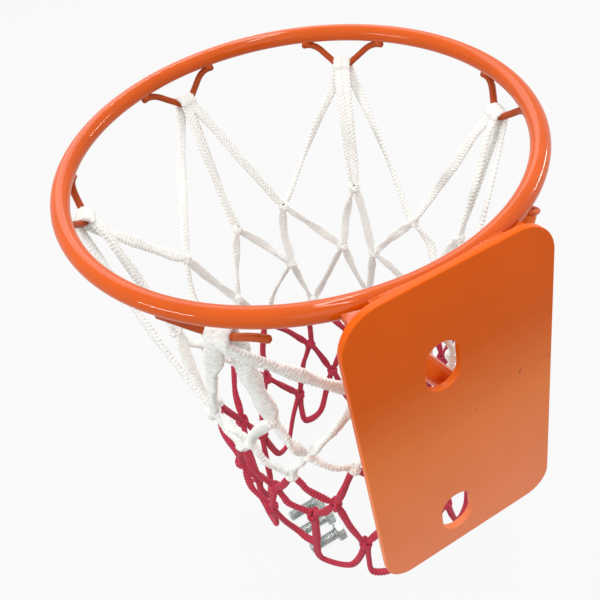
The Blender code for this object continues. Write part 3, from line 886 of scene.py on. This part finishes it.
def weld_profile(x):
    """The weld's section at one place along the plate, from the ring to the plate above and back below."""
    centre = math.sqrt(RIM_RADIUS ** 2 - x ** 2)
    lean = math.atan2(x, centre)
    far = (abs(x) / WELD_REACH) ** 3
    high = WELD_HEIGHT * (1.0 - WELD_FALL * far)
    touch = math.radians(WELD_TOUCH[0] - (WELD_TOUCH[0] - WELD_TOUCH[1]) * far)
    front = RIM_RADIUS + RIM_ROD_RADIUS / math.cos(RIM_RISE) + WELD_INTO_GAP
    points = []
    for side in (1, -1):
        out = centre + RIM_ROD_RADIUS * math.cos(touch) * math.cos(lean)
        ring = np.array((out, side * RIM_ROD_RADIUS * math.sin(touch)))
        plate = np.array((front, side * high))
        middle = (ring + plate) / 2 - np.array((0.0, side * WELD_HOLLOW))
        flank = []
        for t in np.linspace(0, 1, WELD_FLANK_STEPS + 1):
            flank.append((1 - t) ** 2 * ring + 2 * t * (1 - t) * middle + t ** 2 * plate)
        points += flank if side == 1 else flank[::-1]
    return points


def build_weld(finish):
    """The weld that fills the wedge between the ring and the plate, ripple after ripple."""
    stations = np.arange(-WELD_REACH, WELD_REACH + WELD_SPACING / 2, WELD_SPACING)
    points = []
    for x in stations:
        ripple = sum(height * math.sin(x * rate + phase) for height, rate, phase in WELD_RIPPLES)
        section = weld_profile(x)
        for index, (y, z) in enumerate(section):
            step = min(index, len(section) - 1 - index)
            lifted = z + math.copysign(ripple, z) * math.sin(math.pi * step / WELD_FLANK_STEPS)
            points.append(tuple(RIM_CENTRE + RIM_TURN @ Vector((x, y, lifted))))
    skin = closed_skin(len(stations), len(points) // len(stations), reverse=True)
    data = new_mesh("rim_weld", points, skin)
    smooth_but(data, angle=50)
    placed("rim_weld", data, finish)


# Net

def cord_of(row):
    return WHITE_CORD if row < WHITE_ROWS else RED_CORD


def fluff(row, point):
    """How much thicker the white cord has fluffed up on the net's near side."""
    if row >= WHITE_ROWS:
        return 1.0
    facing = outward(point) @ np.array((math.cos(FLUFF_ANGLE), math.sin(FLUFF_ANGLE), 0.0))
    return 1.0 + FLUFF_SHARE * max(0.0, facing) ** 2


def knot_place(row, number):
    """The middle of a row's knot; odd rows have theirs half a step on."""
    turn, out, down = KNOT_SHIFTS[row].get(number % LOOPS, (0, 0, 0))
    angle = math.radians(NET_FIRST_ANGLE + 360 / LOOPS * (number + 0.5 * (row % 2)) + turn)
    radius = NET_RADII[row] + out / MILLIMETRES
    return np.array((
        RIM_CENTRE.x + radius * math.cos(angle),
        RIM_CENTRE.y + radius * math.sin(angle),
        RIM_CENTRE.z - NET_LEVELS[row] - down / MILLIMETRES,
    ))


def outward(point):
    """The level direction from the net's middle line out through a point."""
    return unit(np.array((point[0] - RIM_CENTRE.x, point[1] - RIM_CENTRE.y, 0.0)))


def tape(body, row, points, keys, spread=((0.0, 1.0), (1.0, 1.0))):
    """One stretch of the row's cord. Keys are (share of its length, width direction) and spread is (share
    of its length, share of its width)."""
    cord = cord_of(row)
    path = smooth_path(points, CORD_STEP)
    tangent = tangents(path)
    last = len(path) - 1
    across = width_directions(tangent, [(round(share * last), way) for share, way in keys])
    run = np.arange(len(path)) * CORD_STEP
    near_end = np.exp(-(run / DRAWN_IN_LENGTH) ** 2) + np.exp(-((run[-1] - run) / DRAWN_IN_LENGTH) ** 2)
    squeeze = 1.0 - (1.0 - DRAWN_IN_SHARE) * near_end
    start = chance.uniform(0.0, ANY_START)
    waver = 1.0
    for turn, (part, rate) in enumerate(WAVERS, start=1):
        waver = waver + part * np.sin(run * rate + turn * start)
    size = fluff(row, path[last // 2])
    shares, widths = zip(*spread)
    wide = cord.half_width * squeeze * waver * size * np.interp(run / run[-1], shares, widths)
    thick = cord.half_depth * (1.0 + DRAWN_IN_THICKENING * (1.0 - squeeze * waver)) * size ** 2
    body.sweep(path, across, wide, thick, cord.sides, TAPE_POWER, braid_relief(cord.weave, size))


def braid_relief(weave, size=1.0):
    """Ribs that stand out most along the cord's two edges, and fibres instead where it has fluffed up."""
    pitch, slant, high = weave
    fluffed = (size - 1.0) / FLUFF_SHARE

    def relief(run, cos, sin):
        rib = np.abs(np.sin(math.pi * (run / pitch + slant * np.abs(cos)))) ** RIB_POWER - RIB_MEAN
        edge = np.abs(cos) ** 3
        groove = MIDDLE_GROOVE * np.exp(-(cos / MIDDLE_GROOVE_SHARE) ** 2)
        ribs = high * (RIB_HEIGHT + RIB_EDGE_HEIGHT * edge) * rib - groove
        fibres = fuzz.normal(0.0, FLUFF_ROUGHNESS, (run.size, cos.size))
        return ribs * (1.0 - FLUFF_HIDES * fluffed) + fibres * (LEAST_FIBRES + fluffed)

    return relief


def add_leg(body, row, start, end):
    """A leg from one knot down to the next, bowed by its own stiffness and twisted a little."""
    bow = LEG_BOW + chance.uniform(*LEG_BOW_SPREAD)
    sway = chance.uniform(-LEG_SWAY, LEG_SWAY)
    middle = (start + end) / 2
    out = outward(middle)
    aside = unit(np.cross(end - start, out))
    push = out * bow + aside * sway
    points = [start]
    for share, part in ((0.25, 0.6), (chance.uniform(*LEG_LEAN), 1.0), (0.78, 0.5)):
        points.append(start + (end - start) * share + push * part)
    points.append(end)
    keys = []
    for share in (0.0, 0.35, 0.7, 1.0):
        keys.append((share, flat_way(middle, end - start, chance.gauss(0.0, LEG_TWIST))))
    tape(body, row, points, keys)


def add_wrap(body, cord, centre, axis, radius, shape):
    """Cord wound tight round a knot, its ends tucked into the middle."""
    turns, rise, width_share = shape
    start = chance.uniform(0.0, ANY_TURN)
    first = square_to(np.array((0.2, 0.5, 0.1)), axis)
    second = np.cross(axis, first)
    points = []
    steps = max(round(turns * WRAP_STEPS), WRAP_STEPS)
    for step in range(steps + 1):
        share = step / steps
        turn = start + share * turns * 2 * math.pi
        tuck = 1.0 - WRAP_TUCK * (abs(2 * share - 1) ** 6)
        points.append(
            centre + (math.cos(turn) * first + math.sin(turn) * second) * radius * tuck
            + axis * rise * (share - 0.5)
        )
    path = smooth_path(points, CORD_STEP)
    across = width_directions(tangents(path), [(0, axis), (len(path) // 2, axis), (len(path) - 1, axis)])
    wide = cord.half_width * width_share
    thick = cord.half_depth * cord.wrap_thickness
    body.sweep(path, across, wide, thick, cord.sides, WRAP_POWER, braid_relief(cord.weave))


def add_knot(body, row, centre):
    """A knot: a wrap with a bight drawn across it."""
    cord = cord_of(row)
    tilt = np.array([chance.gauss(0.0, KNOT_TILT) for _ in range(3)])
    axis = unit(UP + tilt)
    add_wrap(body, cord, centre, axis, cord.wrap_radius, WRAP)
    cross = unit(np.cross(axis, outward(centre)) * chance.choice((-1, 1)) + axis * BIGHT_SLANT)
    add_wrap(body, cord, centre, cross, cord.wrap_radius + BIGHT_OUT, BIGHT)


def side_of(centre, share, high):
    """A place just beside a knot's middle, where a cord goes in."""
    aside = np.cross(UP, outward(centre))
    return centre + aside * share * ENTRY_ASIDE + UP * (high * ENTRY_ABOVE)


def flat_way(place, run, turn):
    """The width direction of a cord that lies flat round the net along a run, turned by an angle."""
    flat = unit(np.cross(outward(place), run))
    return flat * math.cos(turn) + unit(np.cross(run, flat)) * math.sin(turn)


def add_hook_loop(body, angle, side, central, outer):
    """A long loop: from its outer knot up behind the hook's point, over it and down to the central knot."""
    seat = hook_place(angle, side, LOOP_STATION)
    point = hook_place(angle, side, HOOK_ARM[-1])
    wire = unit(point - seat)
    up = np.array(RIM_TURN @ Vector(UP))
    inner = unit(np.cross(wire, up)) * side
    if inner @ outward(seat) > 0:
        inner = -inner
    lift = (LOOP_LIFT + side) * SEAT_GAP
    apart = HOOK_WIRE_RADIUS + WHITE_CORD.half_depth * fluff(0, seat) ** 2 + lift
    over = []
    for turn in LOOP_TURNS:
        bend = math.radians(turn)
        over.append(seat + apart * (math.sin(bend) * inner + math.cos(bend) * up))
    back, front = over[0], over[-1]
    outer_run = outer - back
    central_run = central - front
    bulge = outward(back) * LOOP_BULGE
    points = [
        outer, outer - outer_run * 0.3 + bulge, outer - outer_run * 0.62 + bulge,
        back + outer_run * 0.14 + bulge * 0.4 - UP * LOOP_BULGE,
    ] + over + [
        front + central_run * 0.12 - outward(front) * LOOP_DRAW, front + central_run * 0.4,
        front + central_run * 0.72, central,
    ]
    lengths = np.linalg.norm(np.diff(np.array(points), axis=0), axis=1)
    start = lengths[:4].sum() / lengths.sum()
    end = lengths[:10].sum() / lengths.sum()
    keys = []
    for share, place, twist in ((0.0, outer, 0.7), (0.45, outer, 0.8), (0.84, back, 0.15)):
        keys.append((start * share, flat_way(place, outer_run, chance.gauss(0.0, twist))))
    keys += [(start, wire), (end, wire)]
    for share, place, twist in ((0.12, front, 0.15), (0.5, central, 0.6), (1.0, central, 0.7)):
        keys.append((end + (1 - end) * share, flat_way(place, central_run, chance.gauss(0.0, twist))))
    swell = LOOP_SWELL * (fluff(0, seat) - 1.0)
    spread = [(share * start, 1.0 + rise * swell) for share, rise in LOOP_WAVES]
    spread += [(start, HOOK_SPREAD_SHARE), (end, HOOK_SPREAD_SHARE)]
    spread += [(1.0 - share * (1.0 - end), 1.0 + rise * swell) for share, rise in reversed(LOOP_WAVES)]
    tape(body, 0, points, keys, spread)


def build_first_row():
    body = Body()
    for index, angle in enumerate(HOOK_ANGLES):
        for side in (-1, 1):
            ends = [side_of(knot_place(0, 2 * index), side, 1)]
            ends.append(side_of(knot_place(0, 2 * index + side), -side, 1))
            if (index, side) in CROSSED_LOOPS:
                ends.reverse()
            add_hook_loop(body, angle, side, *ends)
    for number in range(LOOPS):
        add_knot(body, 0, knot_place(0, number))
    return body


def build_later_row(row):
    body = Body()
    shift = (row - 1) % 2
    for number in range(LOOPS):
        top = knot_place(row - 1, number)
        left = knot_place(row, number + shift - 1)
        right = knot_place(row, number + shift)
        add_leg(body, row, side_of(top, -1, -1), side_of(left, 1, 1))
        add_leg(body, row, side_of(top, 1, -1), side_of(right, -1, 1))
        add_knot(body, row, knot_place(row, number))
    return body


def add_free_loop(body, row, start, low, end, width):
    """A loop of the last row, open at its foot."""
    aside = unit(np.cross(UP, outward(low)))
    if (end - start) @ aside < 0:
        aside = -aside
    left = low - aside * width
    right = low + aside * width
    rise = UP * FOOT_RISE
    points = [start, start + (left - start) * 0.5 + outward(low) * chance.uniform(*LOOP_BOW_SPREAD)]
    for share, lift in ((-0.8, rise), (-0.3, 0.0), (0.3, 0.0), (0.8, rise)):
        points.append(low + aside * width * share + lift)
    points += [end + (right - end) * 0.5 + outward(low) * chance.uniform(*LOOP_BOW_SPREAD), end]
    keys = []
    for share in (0.0, 0.3, 0.7, 1.0):
        turn = chance.gauss(0.0, LOOP_TWIST)
        keys.append((share, aside * math.cos(turn) + outward(low) * math.sin(turn)))
    tape(body, row, points, keys)


def build_last_row(row):
    body = Body()
    shift = (row - 1) % 2
    for number in range(LOOPS):
        start = side_of(knot_place(row - 1, number), 1, -1)
        end = side_of(knot_place(row - 1, number + 1), -1, -1)
        foot = (number + shift) % LOOPS
        add_free_loop(body, row, start, knot_place(row, foot), end, WIDE_FEET.get(foot, FOOT_HALF_WIDTH))
    return body


def build_net(materials):
    rows = len(NET_LEVELS)
    for row in range(rows):
        if row == 0:
            body = build_first_row()
        elif row == rows - 1:
            body = build_last_row(row)
        else:
            body = build_later_row(row)
        colour = "white" if row < WHITE_ROWS else "red"
        body.finish(f"net_cord_{row + 1}", materials[colour], f"{colour}_cord", (f"net_row_{row + 1}",))


# Bolts

def bolt_radius(x, turn):
    """The bolt's radius at one place: a chamfered hexagon head, then the thread."""
    flats = BOLT_HEAD_WIDTH / 2
    if x <= BOLT_HEAD_HEIGHT:
        from_flat = (turn + math.pi / 6) % (math.pi / 3) - math.pi / 6
        hexagon = flats / math.cos(from_flat)
        edge = min(x, BOLT_HEAD_HEIGHT - x)
        chamfer = flats * BOLT_FACE_SHARE + edge * BOLT_CHAMFER_SLOPE
        return min(hexagon, chamfer)
    phase = (x / THREAD_PITCH - turn / (2 * math.pi)) % 1.0
    groove = THREAD_DEPTH * (1.0 - abs(2 * phase - 1.0))
    end = BOLT_HEAD_HEIGHT + BOLT_LENGTH
    tip = max(0.0, x - (end - BOLT_TIP)) * BOLT_TIP_SLOPE
    runout = min(1.0, (x - BOLT_HEAD_HEIGHT) / THREAD_RUNOUT)
    return BOLT_RADIUS - groove * runout - tip


def build_bolts(finish):
    """The loose bolts, each lying along +X in its own box, on one flat of its head."""
    length = BOLT_HEAD_HEIGHT + BOLT_LENGTH
    shank = np.arange(BOLT_HEAD_HEIGHT + BOLT_FIRST_SECTION, length, THREAD_PITCH / THREAD_SECTIONS)
    sections = [*BOLT_HEAD_SECTIONS, *shank, length]
    points = []
    for x in sections:
        for step in range(BOLT_SIDES):
            turn = 2 * math.pi * step / BOLT_SIDES
            radius = bolt_radius(x, turn)
            points.append((x, radius * math.cos(turn), radius * math.sin(turn)))
    faces = closed_skin(len(sections), BOLT_SIDES)
    on_flat = Matrix.Rotation(math.radians(30), 4, "X")
    for number in range(1, BOLT_COUNT + 1):
        low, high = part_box(f"mounting_bolt_{number}")
        middle = (low + high) / 2
        data = new_mesh(f"bolt_{number}", points, faces)
        data.transform(Matrix.Translation((low.x, middle.y, middle.z)) @ on_flat)
        smooth_but(data, angle=24)
        placed(f"bolt_{number}", data, finish, (f"mounting_bolt_{number}",))


# Stage, light and camera

def build_stage():
    """A pale floor under the net, near white to the camera, that shows a faint shadow."""
    level = CAD_BOX[0].z - FLOOR_GAP
    corners = [(x * FLOOR_REACH, y * FLOOR_REACH, level) for x, y in ((-1, -1), (1, -1), (1, 1), (-1, 1))]
    data = new_mesh("floor", corners, [(0, 1, 2, 3)])
    linked("floor", data)
    nodes = Nodes(bpy.data.materials.new("pale_floor"))
    data.materials.append(nodes.owner)
    shader = nodes.tree.nodes["Principled BSDF"]
    nodes.give(shader, {"Base Color": FLOOR_COLOUR, "Roughness": 0.9, "Specular IOR Level": 0.1})
    glow = nodes.add("ShaderNodeEmission")
    nodes.give(glow, {"Strength": 1.0})
    mixed = nodes.add("ShaderNodeMixShader")
    white = nodes.math("MULTIPLY", nodes.seen_ray(), FLOOR_WHITE_SHARE)
    nodes.give(mixed, {0: white, 1: shader.outputs[0], 2: glow.outputs[0]})
    nodes.give(nodes.tree.nodes["Material Output"], {"Surface": mixed.outputs[0]})


def build_world():
    """Even light from all round, and white to the camera and in reflections."""
    world = bpy.data.worlds.new("studio")
    bpy.context.scene.world = world
    nodes = Nodes(world)
    strength = nodes.spread(nodes.seen_ray(), WORLD_LIGHT, 1.0)
    nodes.give(nodes.tree.nodes["Background"], {"Color": (1.0, 1.0, 1.0), "Strength": strength})


def add_light(name, place, size, power):
    """An area lamp that faces the middle of the ring."""
    data = bpy.data.lights.new(name, "AREA")
    data.shape = "RECTANGLE"
    data.size, data.size_y = size
    data.energy = power
    lamp = linked(name, data)
    lamp.location = place
    lamp.rotation_euler = (RIM_CENTRE - Vector(place)).to_track_quat("-Z", "Y").to_euler()


def build_camera():
    back = (Vector(CAMERA_PLACE) - Vector(CAMERA_AIM)).normalized()
    level = Vector(UP).cross(back).normalized()
    rise = back.cross(level)
    across = math.cos(CAMERA_ROLL) * level + math.sin(CAMERA_ROLL) * rise
    up = back.cross(across)
    data = bpy.data.cameras.new("camera")
    data.sensor_width = 36.0
    data.lens = CAMERA_LENS
    data.clip_start = 0.01
    data.clip_end = 50.0
    camera = linked("camera", data)
    turned = Matrix((across, up, back)).transposed().to_4x4()
    camera.matrix_world = Matrix.Translation(CAMERA_PLACE) @ turned
    bpy.context.scene.camera = camera


def coat_gussets(finish):
    """The gussets keep their own shapes and take the brackets' paint."""
    for name in ("gusset_left", "gusset_right"):
        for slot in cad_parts[name].material_slots:
            slot.material = finish


def main():
    build_camera()
    materials = make_materials()
    build_ring(materials["ring"])
    build_plate(materials["plate"])
    build_braces(materials)
    build_hooks(materials)
    build_weld(materials["weld"])
    coat_gussets(materials["bracket"])
    build_net(materials)
    build_bolts(materials["zinc"])
    build_stage()
    build_world()
    bpy.context.scene.view_settings.view_transform = "Standard"
    for lamp in LAMPS:
        add_light(*lamp)


main()
